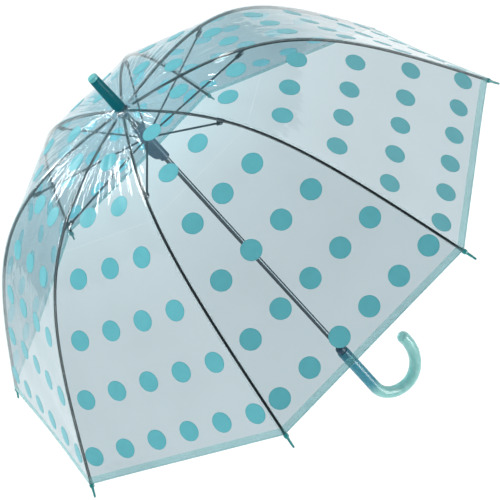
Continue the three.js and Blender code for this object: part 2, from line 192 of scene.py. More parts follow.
class Graph:
    """Short calls for building a material's nodes."""

    def __init__(self, tree):
        self.tree = tree

    def node(self, kind, settings=None, **inputs):
        node = self.tree.nodes.new(kind)
        for key, value in (settings or {}).items():
            setattr(node, key, value)
        for key, value in inputs.items():
            self.set(node, key.replace("_", " "), value)
        return node

    def set(self, node, key, value):
        socket = node.inputs[int(key) if key.isdigit() else key]
        if isinstance(value, bpy.types.NodeSocket):
            self.tree.links.new(value, socket)
        else:
            socket.default_value = value

    def math(self, operation, a, b=0.0, clamp=False):
        node = self.node("ShaderNodeMath", {"operation": operation, "use_clamp": clamp})
        self.set(node, "0", a)
        self.set(node, "1", b)
        return node.outputs[0]

    def times(self, a, b):
        return self.math("MULTIPLY", a, b)

    def plus(self, a, b, clamp=False):
        return self.math("ADD", a, b, clamp)

    def coords(self, which="Object"):
        return self.node("ShaderNodeTexCoord").outputs[which]

    def noise(self, vector, scale, detail=3.0, roughness=0.55):
        inputs = {"Vector": vector, "Scale": scale, "Detail": detail, "Roughness": roughness}
        return self.node("ShaderNodeTexNoise", **inputs).outputs["Fac"]

    def mapped(self, vector, scale):
        return self.node("ShaderNodeMapping", Vector=vector, Scale=scale).outputs[0]

    def remap(self, value, low, high, to_low=0.0, to_high=1.0):
        node = self.node("ShaderNodeMapRange")
        for key, v in zip("01234", (value, low, high, to_low, to_high)):
            self.set(node, key, v)
        return node.outputs[0]

    def mix_colour(self, factor, a, b):
        node = self.node("ShaderNodeMix", {"data_type": "RGBA"})
        self.set(node, "0", factor)
        self.set(node, "6", a)
        self.set(node, "7", b)
        return node.outputs[2]

    def bump(self, height, strength, distance):
        node = self.node("ShaderNodeBump", Height=height, Strength=strength, Distance=distance)
        return node.outputs[0]

    def mix(self, factor, a, b):
        node = self.node("ShaderNodeMixShader")
        self.set(node, "0", factor)
        self.set(node, "1", a)
        self.set(node, "2", b)
        return node.outputs[0]

    def finish(self, shader):
        output = self.node("ShaderNodeOutputMaterial")
        self.tree.links.new(shader, output.inputs["Surface"])


def new_material(name):
    material = bpy.data.materials.new(name)
    material.use_nodes = True
    nodes = material.node_tree.nodes
    nodes.clear()
    return material, Graph(material.node_tree)


def linear(value):
    """Linear light from an sRGB value of 0 to 255."""
    c = value / 255
    return c / 12.92 if c <= 0.04045 else ((c + 0.055) / 1.055) ** 2.4


def colour(red, green, blue):
    """A colour from sRGB values of 0 to 255."""
    return (linear(red), linear(green), linear(blue), 1.0)


def moulded(name, base, other, roughness=0.32, grain=900.0, coat=0.25, subsurface=0.0, specular=0.3):
    """Moulded plastic: a slight change of tone over the piece, a fine surface grain and a clear gloss."""
    material, g = new_material(name)
    where = g.coords()
    tone = g.noise(where, 38.0, 4.0)
    fine = g.noise(where, grain, 2.0)
    body = g.node(
        "ShaderNodeBsdfPrincipled",
        Base_Color=g.mix_colour(g.remap(tone, 0.3, 0.7), base, other),
        Roughness=g.remap(fine, 0.2, 0.8, roughness - 0.06, roughness + 0.08),
        Normal=g.bump(fine, 0.12, 0.0002),
        Coat_Weight=coat,
        Coat_Roughness=0.12,
        Subsurface_Weight=subsurface,
        Subsurface_Scale=0.004,
        Specular_IOR_Level=specular,
    )
    g.finish(body.outputs[0])
    return material


def painted_steel(name, base, other, shine, roughness):
    """Dark painted steel: streaks along the piece, small changes of tone and an even, low shine."""
    material, g = new_material(name)
    where = g.coords()
    streak = g.noise(g.mapped(where, (260.0, 260.0, 22.0)), 1.0, 4.0)
    mottled = g.noise(where, 60.0, 3.0)
    bump = g.bump(streak, 0.08, 0.0002)
    paint = g.node(
        "ShaderNodeBsdfPrincipled",
        Base_Color=g.mix_colour(g.remap(mottled, 0.3, 0.7), base, other),
        Roughness=0.6,
        Specular_IOR_Level=0.0,
        Normal=bump,
    )
    gloss = g.node(
        "ShaderNodeBsdfGlossy",
        Color=(0.90, 0.97, 1.0, 1.0),
        Roughness=g.remap(streak, 0.25, 0.75, roughness - 0.04, roughness + 0.06),
        Normal=bump,
    )
    g.finish(g.mix(shine, paint.outputs[0], gloss.outputs[0]))
    return material


def bright_steel(name, base, other):
    """Bare spring steel with fine drawing marks."""
    material, g = new_material(name)
    where = g.coords()
    streak = g.noise(g.mapped(where, (260.0, 260.0, 22.0)), 1.0, 4.0)
    body = g.node(
        "ShaderNodeBsdfPrincipled",
        Base_Color=g.mix_colour(g.remap(streak, 0.3, 0.7), base, other),
        Metallic=1.0,
        Roughness=g.remap(streak, 0.25, 0.75, 0.20, 0.34),
        Normal=g.bump(streak, 0.08, 0.0002),
    )
    g.finish(body.outputs[0])
    return material


def film_shine(g, bump, head_on, grazing, roughness):
    """How edge on a film is seen, the share of light that it mirrors there, and the mirror itself."""
    normal = {"Normal": bump} if bump else {}
    edge_on = g.node("ShaderNodeLayerWeight", Blend=0.5, **normal).outputs["Facing"]
    share = g.times(g.math("POWER", edge_on, 5.0), grazing)
    share = g.plus(share, head_on, clamp=True)
    mirror = g.node("ShaderNodeBsdfGlossy", Color=WHITE, Roughness=roughness, **normal).outputs[0]
    return edge_on, share, mirror


def clear_film(
    name, through, milk, milk_share, lit_crown_through=None, crown_light_haze=0.0, creases=0.0, sheen=0.20, gloss=1.0
):
    """Clear vinyl film seen as one thin sheet.

    Its UVs are (share of the way across, metres from the crown). Light passes tinted by `through`, and
    near the crown by a lighter, clearer tint, painted light for the stronger light there. A little is
    scattered as `milk`, and both faces shine. Folds run down the gore from the crown and fade out;
    painted highlights whiten them as haze where they are sharpest, and a fainter painted haze of light
    lies over the crown between them. A soft ripple covers the rest.
    """
    material, g = new_material(name)
    uv = g.node("ShaderNodeUVMap", {"uv_map": "film"}).outputs[0]
    along = g.node("ShaderNodeSeparateXYZ", Vector=uv).outputs[1]
    near_crown = g.remap(along, *FOLD_REACH, 1.0, 0.0)
    wide_fold = g.noise(g.mapped(uv, (3.2, 3.2, 1.0)), 1.0, 2.0)
    fine_fold = g.noise(g.mapped(uv, (9.0, 5.0, 1.0)), 1.0, 2.5)
    soft = g.noise(g.mapped(uv, (2.2, 13.0, 1.0)), 1.0, 3.0)
    folds = g.plus(wide_fold, g.times(fine_fold, 0.5))
    folds = g.times(folds, g.times(near_crown, creases))
    bump = g.bump(g.plus(folds, g.times(soft, SOFT_RIPPLE)), 0.7, 0.008)
    edge_on, shine, mirror = film_shine(g, bump, SHINE_HEAD_ON * gloss, SHINE_GRAZING * gloss, 0.05)

    # Painted light: the film is made lighter and clearer near the crown, where the light is stronger.
    upper = g.math("POWER", g.remap(along, *LIT_CROWN_REACH, 1.0, 0.0), 2.0)
    tint = g.mix_colour(upper, through, lit_crown_through or through)
    # Painted shade: soft darker patches over the film stand in for the shade of its soft wrinkles.
    wrinkle_shade = g.noise(g.mapped(uv, (1.3, 9.0, 1.0)), 1.0, 2.0)
    tint = g.mix_colour(g.remap(wrinkle_shade, 0.45, 0.75, 0.0, 0.08), tint, WRINKLE_SHADE)
    clear = g.node("ShaderNodeBsdfTransparent", Color=tint).outputs[0]

    # Painted highlight: along the sharpest creases near the crown the film is hazier and whiter, and a
    # fainter painted haze of light lies over the crown between them.
    sharp = g.math("MAXIMUM", crease_lines(g, wide_fold, 0.012), crease_lines(g, fine_fold, 0.018))
    crease_highlight = g.times(sharp, g.remap(along, *CREASE_HIGHLIGHT_REACH, 1.0, 0.0))
    crown = g.plus(g.times(crease_highlight, CREASE_HIGHLIGHT_HAZE), PLAIN_CROWN_LIGHT_HAZE)
    crown = g.times(near_crown, crown)
    # The film's own milkiness, plus the painted light at the crown and the painted sheen where it is seen
    # edge on.
    haze_and_light = g.times(g.remap(soft, 0.25, 0.75, 0.7, 1.3), milk_share)
    haze_and_light = g.plus(haze_and_light, g.times(crown, crown_light_haze))
    haze_and_light = g.plus(haze_and_light, g.times(g.math("POWER", edge_on, 2.0), sheen), clamp=True)
    tone = g.mix_colour(g.times(crease_highlight, 0.8), milk, CREASE_HIGHLIGHT_WHITE)
    scattered_back = g.node("ShaderNodeBsdfDiffuse", Color=tone).outputs[0]
    scattered_on = g.node("ShaderNodeBsdfTranslucent", Color=tone).outputs[0]
    sheet = g.mix(haze_and_light, clear, g.mix(0.5, scattered_back, scattered_on))
    g.finish(g.mix(shine, sheet, mirror))
    return material


def crease_lines(g, folds, width):
    """1 along the thin lines where the noise crosses its middle value, 0 elsewhere."""
    return g.remap(g.math("ABSOLUTE", g.math("SUBTRACT", folds, 0.5)), 0.0, width, 1.0, 0.0)


def seam_film(name):
    """The welded seam: clear over the rib; where the welding grips on either side, milky with a painted
    highlight.

    Its UVs are (-1 to 1 across the seam, metres from the crown).
    """
    material, g = new_material(name)
    uv = g.node("ShaderNodeUVMap", {"uv_map": "film"}).outputs[0]
    place_on_seam = g.node("ShaderNodeSeparateXYZ", Vector=uv)
    across = g.math("ABSOLUTE", place_on_seam.outputs[0])
    patchy = g.noise(g.coords(), 60.0, 3.0)
    # Milky welding on either side of the rib, made whiter as a painted highlight; it fades out near the
    # crown.
    weld_and_highlight = g.times(g.remap(across, 0.48, 0.60), g.remap(across, 0.98, 0.86))
    weld_and_highlight = g.times(weld_and_highlight, g.remap(patchy, 0.3, 0.7, 0.14, 0.30))
    weld_and_highlight = g.times(weld_and_highlight, g.remap(place_on_seam.outputs[1], 0.06, 0.18))
    clear = g.node("ShaderNodeBsdfTransparent", Color=(0.94, 0.98, 0.985, 1.0)).outputs[0]
    white = g.node("ShaderNodeBsdfTranslucent", Color=WELD_AND_HIGHLIGHT_WHITE).outputs[0]
    back = g.node("ShaderNodeBsdfDiffuse", Color=WELD_AND_HIGHLIGHT_WHITE).outputs[0]
    _, shine, mirror = film_shine(g, None, 0.02, 0.4, 0.12)
    g.finish(g.mix(shine, g.mix(weld_and_highlight, clear, g.mix(0.5, back, white)), mirror))
    return material


def printed_dot(name, face, rim):
    """Opaque glossy ink, a touch thicker at its edge. Its UVs are (share of the radius, angle)."""
    material, g = new_material(name)
    uv = g.node("ShaderNodeUVMap", {"uv_map": "film"}).outputs[0]
    radial = g.node("ShaderNodeSeparateXYZ", Vector=uv).outputs[0]
    cloud = g.noise(g.coords(), 85.0, 3.0)
    ink = g.mix_colour(g.remap(cloud, 0.3, 0.7, 0.0, 0.35), face, rim)
    ink = g.mix_colour(g.remap(radial, 0.90, 0.97), ink, rim)
    grain = g.noise(g.coords(), 1500.0, 2.0)
    body = g.node(
        "ShaderNodeBsdfPrincipled",
        Base_Color=ink,
        Roughness=g.remap(grain, 0.2, 0.8, 0.24, 0.38),
        Normal=g.bump(grain, 0.1, 0.0001),
        Specular_IOR_Level=0.25,
    )
    glow = g.node("ShaderNodeBsdfTranslucent", Color=ink)
    g.finish(g.mix(0.15, body.outputs[0], glow.outputs[0]))
    return material


def handle_plastic(name):
    """Translucent mint moulding: pearly in the crook, deeper where the dark shaft stands inside it."""
    material, g = new_material(name)
    where = g.coords()
    height = g.node("ShaderNodeSeparateXYZ", Vector=where).outputs[2]
    wander = g.noise(where, 30.0, 3.0)
    level = g.plus(height, g.times(g.math("SUBTRACT", wander, 0.5), 0.012))
    off_axis = g.math("ABSOLUTE", g.node("ShaderNodeSeparateXYZ", Vector=where).outputs[0])
    beside_shaft = g.remap(level, SHAFT_BOTTOM - 0.014, SHAFT_BOTTOM + 0.010)
    shaft_inside = g.times(beside_shaft, g.remap(off_axis, 0.03, 0.012))
    pearl = g.noise(g.mapped(where, (1.0, 1.0, 0.4)), 120.0, 4.0)
    clouds = g.remap(pearl, 0.35, 0.65)
    mint = g.mix_colour(clouds, colour(144, 212, 208), colour(168, 226, 222))
    deep = g.mix_colour(clouds, (0.030, 0.270, 0.370, 1.0), (0.055, 0.330, 0.430, 1.0))
    grain = g.noise(where, 1100.0, 2.0)
    body = g.node(
        "ShaderNodeBsdfPrincipled",
        Base_Color=g.mix_colour(shaft_inside, mint, deep),
        Roughness=g.remap(grain, 0.2, 0.8, 0.16, 0.26),
        Normal=g.bump(grain, 0.06, 0.0002),
        Subsurface_Weight=0.35,
        Subsurface_Radius=(0.6, 1.0, 1.0),
        Subsurface_Scale=0.005,
        Coat_Weight=0.14,
        Coat_Roughness=0.10,
        Specular_IOR_Level=0.2,
    )
    g.finish(body.outputs[0])
    return material


FILM = clear_film(
    "clear_film",
    through=(0.455, 0.545, 0.580, 1.0),
    milk=(0.38, 0.86, 0.97, 1.0),
    milk_share=0.012,
    # lighter, clearer tint near the crown: painted light for the stronger light there
    lit_crown_through=(0.66, 0.87, 0.94, 1.0),
    # painted haze of light over the crown and on its sharp creases
    crown_light_haze=0.05,
    creases=1.0,
    sheen=0.24,
)
CRINKLED = clear_film(
    "crinkled_film",
    through=(0.80, 0.93, 0.96, 1.0),
    milk=(0.60, 0.94, 1.0, 1.0),
    milk_share=0.01,
    crown_light_haze=0.01,
    creases=1.6,
    sheen=0.03,
    gloss=1.6,
)
CLEAR_PLASTIC = clear_film(
    "clear_plastic", (0.84, 0.95, 0.97, 1.0), (0.60, 0.94, 1.0, 1.0), 0.0, sheen=0.03, gloss=0.5
)
HEM_FILM = clear_film("hem_film", (0.90, 0.97, 0.97, 1.0), (0.45, 0.97, 0.95, 1.0), 0.20, gloss=0.5)
HEM_EDGE = clear_film("hem_edge", (0.66, 0.86, 0.88, 1.0), (0.30, 0.62, 0.62, 1.0), 0.20, gloss=0.4)
SEAM_FILM = seam_film("seam_film")
DOT_INK = printed_dot("dot_ink", (0.16, 0.62, 0.70, 1.0), (0.12, 0.52, 0.60, 1.0))
# The dots' inner faces: a lighter ink, painted light that stands for light shining through them from
# behind.
DOT_INK_BACKLIT = printed_dot("dot_ink_backlit", (0.24, 0.84, 0.95, 1.0), (0.18, 0.74, 0.86, 1.0))
RIB_STEEL = painted_steel("rib_steel", (0.002, 0.012, 0.016, 1), (0.004, 0.020, 0.026, 1), 0.012, 0.30)
STRETCHER_STEEL = painted_steel(
    "stretcher_steel", (0.010, 0.035, 0.052, 1), (0.018, 0.050, 0.068, 1), 0.02, 0.30
)
SHAFT_STEEL = painted_steel("shaft_steel", (0.010, 0.024, 0.032, 1), (0.016, 0.034, 0.044, 1), 0.10, 0.14)
SPRING_STEEL = bright_steel("spring_steel", colour(168, 172, 176), colour(188, 192, 196))
SLATE = moulded("slate_plastic", (0.035, 0.095, 0.165, 1), (0.045, 0.110, 0.185, 1), 0.34, specular=0.2)
DARK_TEAL = moulded(
    "dark_teal_plastic",
    (0.002, 0.150, 0.185, 1),
    (0.004, 0.170, 0.205, 1),
    roughness=0.30,
    coat=0.05,
    specular=0.06,
)
PALE_TEAL = moulded("pale_teal_plastic", colour(92, 190, 194), colour(104, 200, 202), 0.3, subsurface=0.2)
TIP_TEAL = moulded("tip_plastic", (0.004, 0.22, 0.22, 1), (0.02, 0.30, 0.30, 1), 0.3, specular=0.2)
HANDLE = handle_plastic("handle_plastic")


# ---- mesh helpers
def in_scene(name, data):
    obj = bpy.data.objects.new(name, data)
    bpy.context.scene.collection.objects.link(obj)
    return obj


def mesh_object(name, points, faces, material, uvs=None, normals=None):
    """A mesh from points and faces, with one UV per point where given."""
    mesh = bpy.data.meshes.new(name)
    mesh.from_pydata([tuple(p) for p in points], [], [tuple(f) for f in faces])
    mesh.polygons.foreach_set("use_smooth", [True] * len(mesh.polygons))
    if uvs is not None:
        layer = mesh.uv_layers.new(name="film")
        corner = np.zeros(len(mesh.loops), np.int32)
        mesh.loops.foreach_get("vertex_index", corner)
        layer.data.foreach_set("uv", np.asarray(uvs, np.float32)[corner].ravel())
    if normals is not None:
        mesh.normals_split_custom_set_from_vertices([tuple(n) for n in normals])
    mesh.materials.append(material)
    return in_scene(name, mesh)


def grid_faces(rows, columns, closed=False, start=0):
    """Quads of a grid of points, row by row. A closed grid joins its last column to its first."""
    wide = columns if closed else columns - 1
    return [
        (
            start + i * columns + j,
            start + i * columns + (j + 1) % columns,
            start + (i + 1) * columns + (j + 1) % columns,
            start + (i + 1) * columns + j,
        )
        for i in range(rows - 1)
        for j in range(wide)
    ]


def capped(name, points, rings, sides, material, smooth_angle):
    """A solid whose points stand in rings, closed by a flat face at both ends."""
    faces = grid_faces(rings, sides, closed=True)
    faces.append(tuple(reversed(range(sides))))
    faces.append(tuple(range((rings - 1) * sides, rings * sides)))
    obj = mesh_object(name, points, faces, material)
    clean(obj)
    soften(obj, smooth_angle)
    return obj


def turned(name, profile, material, segments, smooth_angle=40):
    """A solid of revolution about Z from a profile of (radius, height); it closes itself at both ends."""
    points = []
    for r, z in profile:
        for j in range(segments):
            a = 2 * math.pi * j / segments
            points.append((r * math.cos(a), r * math.sin(a), z))
    return capped(name, points, len(profile), segments, material, smooth_angle)


def facing_out(faces):
    """Faces turned over, for grids whose rows run down the film and whose columns run across it."""
    return [tuple(reversed(face)) for face in faces]


def clean(obj):
    """Welds doubled points and turns every face outwards."""
    work = bmesh.new()
    work.from_mesh(obj.data)
    bmesh.ops.remove_doubles(work, verts=work.verts, dist=1e-6)
    bmesh.ops.dissolve_degenerate(work, edges=work.edges, dist=1e-7)
    bmesh.ops.recalc_face_normals(work, faces=work.faces)
    work.to_mesh(obj.data)
    work.free()


def soften(obj, angle):
    """Sharp edges where smooth-shaded faces meet at more than `angle` degrees."""
    obj.data.set_sharp_from_angle(angle=math.radians(angle))


def rounded(corners, radius, steps=4):
    """A profile of (radius, height) corners, with all but the first and last eased into short arcs."""
    out = [corners[0]]
    for before, at, after in zip(corners, corners[1:], corners[2:]):
        a, p, b = (np.array(q, float) for q in (before, at, after))
        cut = min(radius, 0.45 * np.linalg.norm(a - p), 0.45 * np.linalg.norm(b - p))
        start = p + (a - p) / np.linalg.norm(a - p) * cut
        end = p + (b - p) / np.linalg.norm(b - p) * cut
        for i in range(steps + 1):
            u = i / steps
            out.append(tuple((1 - u) ** 2 * start + 2 * u * (1 - u) * p + u**2 * end))
    out.append(corners[-1])
    return out


def tube(name, path, radius, material, sides):
    """A round bar along a path of points; `radius` is one number or one per point."""
    path = np.asarray(path, float)
    radii = np.broadcast_to(radius, len(path))
    along = np.gradient(path, axis=0)
    along /= np.linalg.norm(along, axis=1)[:, None]
    side = np.cross(along[0], (0.0, 0.0, 1.0))
    if np.linalg.norm(side) < 0.1:
        side = np.cross(along[0], (0.0, 1.0, 0.0))
    points = []
    for p, t, r in zip(path, along, radii):
        side = side - t * (side @ t)
        side /= np.linalg.norm(side)
        other = np.cross(t, side)
        for j in range(sides):
            a = 2 * math.pi * j / sides
            points.append(p + r * (math.cos(a) * side + math.sin(a) * other))
    return capped(name, points, len(path), sides, material, smooth_angle=50)


def joined(name, pieces):
    """One object from several."""
    bpy.ops.object.select_all(action="DESELECT")
    for piece in pieces:
        piece.select_set(True)
    bpy.context.view_layer.objects.active = pieces[0]
    bpy.ops.object.join()
    obj = bpy.context.view_layer.objects.active
    obj.name = name
    obj.data.name = name
    return obj


def place(obj, origin, along, across):
    """Puts a piece that was made round the origin so that its X runs `along` and its Y `across`."""
    x = Vector(along).normalized()
    y = Vector(across).normalized()
    z = x.cross(y)
    for v in obj.data.vertices:
        v.co = Vector(origin) + v.co.x * x + v.co.y * y + v.co.z * z
    obj.data.update()


def stand_along_x(obj):
    """Lays a piece that stands along Z along X."""
    for v in obj.data.vertices:
        x, y, z = v.co
        v.co = (z, y, -x)


def bevel(obj, width):
    """A modifier that eases every sharp edge."""
    modifier = obj.modifiers.new("edges", "BEVEL")
    modifier.width = width
    modifier.segments = 2
    modifier.limit_method = "ANGLE"


def apply_modifiers(obj):
    """The piece as its modifiers leave it, without them."""
    depsgraph = bpy.context.evaluated_depsgraph_get()
    mesh = bpy.data.meshes.new_from_object(obj.evaluated_get(depsgraph))
    obj.modifiers.clear()
    obj.data = mesh


def plate(name, outline, thickness, material):
    """A flat plate in the XZ plane with slightly eased edges, `thickness` wide along Y."""
    points = [(x, -thickness / 2, z) for x, z in outline] + [(x, thickness / 2, z) for x, z in outline]
    n = len(outline)
    faces = [tuple(range(n)), tuple(range(2 * n - 1, n - 1, -1))]
    faces += [(i, n + i, n + (i + 1) % n, (i + 1) % n) for i in range(n)]
    obj = mesh_object(name, points, faces, material)
    clean(obj)
    bevel(obj, 0.00015)
    apply_modifiers(obj)
    soften(obj, 35)
    return obj


def tongue(length, half, start=0.0, steps=8):
    """Outline of a strap from x = start that ends in a half round about x = length."""
    arc = np.linspace(math.pi / 2, -math.pi / 2, steps + 1)
    end = [(length + half * math.cos(a), half * math.sin(a)) for a in arc]
    return [(start, half), *end, (start, -half)]


# ---- rib and film geometry
def rib_point(share):
    """(radius, height) of the rib centreline at a share of its curve."""
    t = np.asarray(share, float)[..., None]
    p = RIB_CURVE
    at = (1 - t) ** 3 * p[0] + 3 * t * (1 - t) ** 2 * p[1] + 3 * t**2 * (1 - t) * p[2] + t**3 * p[3]
    return at + (0.0, HUB)


def rib_along(share):
    t = np.asarray(share, float)[..., None]
    p = RIB_CURVE
    d = (1 - t) ** 2 * (p[1] - p[0]) + 2 * t * (1 - t) * (p[2] - p[1]) + t**2 * (p[3] - p[2])
    return d / np.linalg.norm(d, axis=-1, keepdims=True)


def off_rib(share, distance):
    """A point that far outside the rib, square to it."""
    d = rib_along(share)
    normal = np.stack([-d[..., 1], d[..., 0]], axis=-1)
    return rib_point(share) + normal * np.asarray(distance)[..., None]


def rib_share_at(length):
    """Share of the rib curve at a length down the film's middle line, from the rib pivots' radius."""
    return np.interp(length, FILM_LENGTHS, FILM_SHARES)


FILM_SHARES = np.linspace(0, 1, 801)
_middle_line = off_rib(FILM_SHARES, FILM_OFFSET) * (math.cos(HALF_GORE), 1)
FILM_LENGTHS = np.concatenate([[0], np.cumsum(np.linalg.norm(np.diff(_middle_line, axis=0), axis=1))])
HEM_AT = float(FILM_LENGTHS[-1]) - 0.0008
BEND_LINE = float(np.interp(BEND_AT, FILM_SHARES, FILM_LENGTHS))
CROWN_LINE = float(np.interp(FILM_START * math.cos(HALF_GORE), _middle_line[:, 0], FILM_LENGTHS))

draws = np.random.default_rng(11)
PLEATS = [
    {
        "waves": draws.uniform(2.2, 6.5, 5),
        "phase": draws.uniform(0, 2 * math.pi, 5),
        "twist": draws.uniform(-28, 28, 5),
        "ripple": draws.uniform(0, 2 * math.pi, 4),
    }
    for _ in range(GORES)
]


def half_width(length):
    """Half of a gore's width at a length along its middle line."""
    return off_rib(rib_share_at(length), FILM_OFFSET)[..., 0] * math.sin(HALF_GORE)


def film_relief(k, length, side):
    """How far the film stands off the straight line from rib to rib, by pleats, soft ripples and slack."""
    p = PLEATS[k - 1]
    held = 1 - side**4
    waves = zip(p["waves"], p["phase"], p["twist"])
    pleat = sum(np.cos(math.pi * count * side + phase + twist * length) for count, phase, twist in waves)
    crown = PLEAT_HEIGHT * pleat / PLEAT_SPREAD * np.exp(-length / PLEAT_FADE)
    crown = crown * np.minimum(1, (length - CROWN_LINE) / 0.012)
    r = p["ripple"]
    long_wave = np.sin(34 * length + 2.2 * side + r[0])
    short_wave = np.sin(61 * length - 3.1 * side + r[1])
    ripple = RIPPLE_HEIGHT * (long_wave + short_wave)
    slack = -SLACK * (1 - side**2) * np.minimum(1, length / 0.15)
    flat_at_bend = np.minimum(1, np.abs(length - BEND_LINE) / 0.05)
    return held * (crown + ripple * flat_at_bend * np.minimum(1, length / 0.1)) + slack * flat_at_bend


def film_point(k, length, side, lift=0.0):
    """Points of gore k: `length` down its middle line, `side` from -1 at one rib to 1 at the next."""
    length, side = np.broadcast_arrays(np.asarray(length, float), np.asarray(side, float))
    share = rib_share_at(length)
    r, z = np.moveaxis(off_rib(share, FILM_OFFSET), -1, 0)
    d = rib_along(share)
    raised = film_relief(k, length, side) + lift
    x = r * math.cos(HALF_GORE) - d[..., 1] * raised
    y = r * math.sin(HALF_GORE) * side
    return turned_to(k, np.stack([x, y, z + d[..., 0] * raised], axis=-1))


def turned_to(k, points):
    """Points of gore 1 turned to gore k."""
    a = (k - 1) * GORE_ANGLE
    x, y, z = np.moveaxis(points, -1, 0)
    return np.stack([x * math.cos(a) - y * math.sin(a), x * math.sin(a) + y * math.cos(a), z], axis=-1)


def film_normal(k, length, side):
    step = 1e-4
    down = film_point(k, length + step, side) - film_point(k, length - step, side)
    across = film_point(k, length, side + step) - film_point(k, length, side - step)
    n = np.cross(across, down)
    n = -n / np.linalg.norm(n, axis=-1, keepdims=True)
    return n


# ---- canopy
def film_sheet(name, k, start, end, rows, columns=41):
    """One sheet of gore k's film, between two lengths down its middle line."""
    lengths = np.linspace(start, end, rows)[:, None] * np.ones(columns)
    sides = np.ones(rows)[:, None] * np.linspace(-1, 1, columns)
    points = film_point(k, lengths, sides).reshape(-1, 3)
    normals = film_normal(k, lengths, sides).reshape(-1, 3)
    uvs = np.stack([(sides + 3 * k).ravel(), lengths.ravel()], axis=1)
    return mesh_object(name, points, facing_out(grid_faces(rows, columns)), FILM, uvs, normals)


def dot_patch(k, length, across):
    """Points, outer faces, inner faces and UVs of one printed dot, a thin lens that holds the film."""
    radial = np.repeat(np.arange(1, DOT_RINGS + 1) / DOT_RINGS, DOT_SPOKES)
    angle = np.tile(2 * math.pi * np.arange(DOT_SPOKES) / DOT_SPOKES, DOT_RINGS)
    radial = np.concatenate([[0.0], radial])
    angle = np.concatenate([[0.0], angle])
    lengths = length + DOT_RADIUS * radial * np.cos(angle)
    sides = (across + DOT_RADIUS * radial * np.sin(angle)) / half_width(lengths)
    points = np.concatenate([film_point(k, lengths, sides, lift) for lift in (DOT_LIFT, -DOT_SINK)])
    outer = [(0, 1 + j, 1 + (j + 1) % DOT_SPOKES) for j in range(DOT_SPOKES)]
    outer += facing_out(grid_faces(DOT_RINGS, DOT_SPOKES, closed=True, start=1))
    count = len(radial)
    inner = [tuple(count + i for i in reversed(face)) for face in outer]
    last = 1 + (DOT_RINGS - 1) * DOT_SPOKES
    rim = [(last + j, last + (j + 1) % DOT_SPOKES) for j in range(DOT_SPOKES)]
    wall = [(a, count + a, count + b, b) for a, b in rim]
    uvs = np.stack([radial, angle], axis=1)
    return points, outer + wall, inner, np.concatenate([uvs, uvs])


def dots(name, k, rows):
    """The printed dots of some of gore k's rows, in one piece."""
    points, faces, insides, uvs = [], [], [], []
    for row in rows:
        for place_in_row in range(row):
            across = (place_in_row - (row - 1) / 2) * DOT_PITCH
            p, outer, inner, uv = dot_patch(k, FIRST_ROW + (row - 1) * ROW_PITCH, across)
            start = sum(len(q) for q in points)
            points.append(p)
            uvs.append(uv)
            insides += range(len(faces) + len(outer), len(faces) + len(outer) + len(inner))
            faces += [tuple(start + i for i in face) for face in outer + inner]
    piece = mesh_object(name, np.concatenate(points), faces, DOT_INK, np.concatenate(uvs))
    # Inner faces take the lighter ink that is painted as if lit from behind.
    piece.data.materials.append(DOT_INK_BACKLIT)
    for index in insides:
        piece.data.polygons[index].material_index = 1
    soften(piece, 40)
    return piece


def hem(name, k):
    """The film's lower edge, folded up and welded: a narrow band on both faces, joined round the edge."""
    columns = 49
    section = [
        (HEM_AT - HEM_WIDTH, HEM_LIFT * 0.4),
        (HEM_AT - HEM_WIDTH + 0.0008, HEM_LIFT),
        (HEM_AT - HEM_WIDTH / 2, HEM_LIFT),
        (HEM_AT - 0.0014, HEM_LIFT),
        (HEM_AT - 0.0002, HEM_LIFT),
        (HEM_AT + 0.0004, 0.0),
        (HEM_AT - 0.0002, -HEM_LIFT),
        (HEM_AT - HEM_WIDTH / 2, -HEM_LIFT),
        (HEM_AT - HEM_WIDTH, -HEM_LIFT),
    ]
    sides = np.linspace(-0.995, 0.995, columns)
    points = np.concatenate([film_point(k, np.full(columns, s), sides, lift) for s, lift in section])
    uvs = np.concatenate([np.stack([sides + 3 * k, np.full(columns, s)], axis=1) for s, _ in section])
    band = mesh_object(name, points, facing_out(grid_faces(len(section), columns)), HEM_FILM, uvs)
    band.data.materials.append(HEM_EDGE)
    welded = range(HEM_EDGE_ROWS[0] * (columns - 1), HEM_EDGE_ROWS[1] * (columns - 1))
    for index in welded:
        band.data.polygons[index].material_index = 1
    return band


def seam(name, k):
    """The welded seam over rib k, between two gores: a flat band with a raised bead down its middle."""
    rows = 120
    lengths = np.linspace(CROWN_LINE + 0.004, HEM_AT, rows)
    wide = np.minimum(SEAM_HALF_WIDTH, 0.6 * half_width(lengths))
    section = [(-1.0, 0.2), (-0.5, 1.0), (-0.2, 1.1), (0.0, 1.8), (0.2, 1.1), (0.5, 1.0), (1.0, 0.2)]
    columns = []
    for share, lift in section:
        inward = np.abs(share) * wide / half_width(lengths)
        if share <= 0:
            points = film_point(k, lengths, 1 - inward, lift * SEAM_LIFT)
        else:
            points = film_point(k % GORES + 1, lengths, inward - 1, lift * SEAM_LIFT)
        if share == 0:
            other = film_point(k % GORES + 1, lengths, np.full(rows, -1.0), lift * SEAM_LIFT)
            points = (points + other) / 2
        columns.append(points)
    points = np.stack(columns, axis=1).reshape(-1, 3)
    uvs = np.array([(share, s) for s in lengths for share, _ in section])
    return mesh_object(name, points, facing_out(grid_faces(rows, len(section))), SEAM_FILM, uvs)


